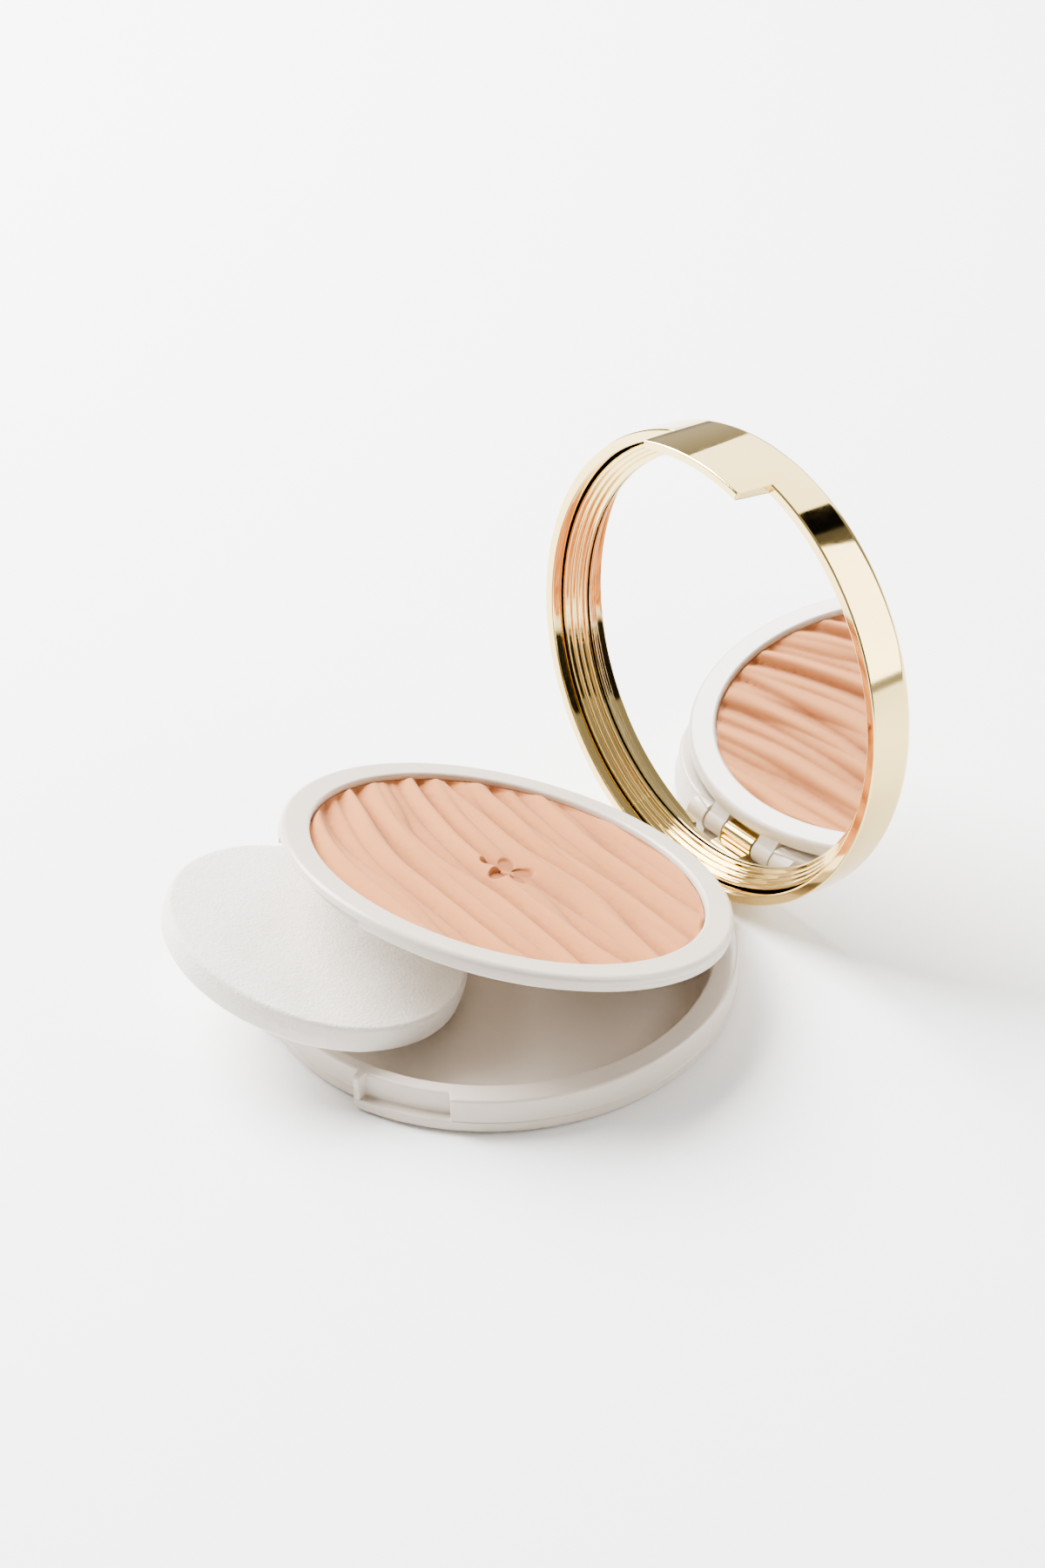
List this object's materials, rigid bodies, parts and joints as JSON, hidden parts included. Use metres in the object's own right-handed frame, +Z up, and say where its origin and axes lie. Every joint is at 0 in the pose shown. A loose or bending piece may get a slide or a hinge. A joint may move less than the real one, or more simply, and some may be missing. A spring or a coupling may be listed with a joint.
{
  "type": "powder compact",
  "caption": "Round makeup compact standing open: a white tub with a foam sponge, a lift-up tray of pressed powder, and a gold lid with a mirror, on a common hinge.",
  "frame": {"origin": "centre of the tub's round flat underside, on the surface that the compact stands on", "axes": "+Z up, +Y from the centre towards the hinge at the back, +X along the hinge, to the right when seen from the front"},
  "size_m": [0.0742, 0.0979, 0.0752],
  "materials": {
    "white_plastic": "moulded, glossy, bright white",
    "gold_plating": "vacuum-plated plastic, mirror-bright pale gold",
    "mirror": "polished silvered glass",
    "powder": "pressed face powder, matte, light beige",
    "aluminium": "stamped thin sheet, satin",
    "steel": "drawn wire, bright",
    "foam": "fine-celled latex foam, matte white",
    "adhesive": "thin double-sided foam tape"
  },
  "bodies": {
    "base": {"base_shell": "white_plastic", "hinge_pin_left": "steel", "hinge_pin_right": "steel"},
    "tray": {"tray_frame": "white_plastic", "tray_bottom": "white_plastic", "pan_adhesive": "adhesive", "powder_pan": "aluminium", "powder_cake": "powder"},
    "lid": {"lid_shell": "gold_plating", "mirror_frame": "gold_plating", "mirror_glass": "mirror", "mirror_adhesive": "adhesive"},
    "sponge": {"sponge": "foam"}
  },
  "joints": [
    {"name": "tray_hinge", "type": "hinge", "parent": "base", "child": "tray", "pos_m": [0, 0.0344, 0.00365], "axis": [-1, 0, 0], "range_deg": [-18.2, 0]},
    {"name": "lid_hinge", "type": "hinge", "parent": "tray", "child": "lid", "pos_m": [0, 0.0344, 0.00365], "axis": [-1, 0, 0], "range_deg": [-77.1, 18.2]},
    {"name": "sponge_swing", "type": "hinge", "parent": "base", "child": "sponge", "pos_m": [0.00649, 0.0144, 0.09564], "axis": [-0.9135, 0.4067, 0], "range_deg": [-17, 0]}
  ],
  "couplings": [
    {"joint": "sponge_swing", "follows": "tray_hinge", "ratio": 0.93407}
  ]
}
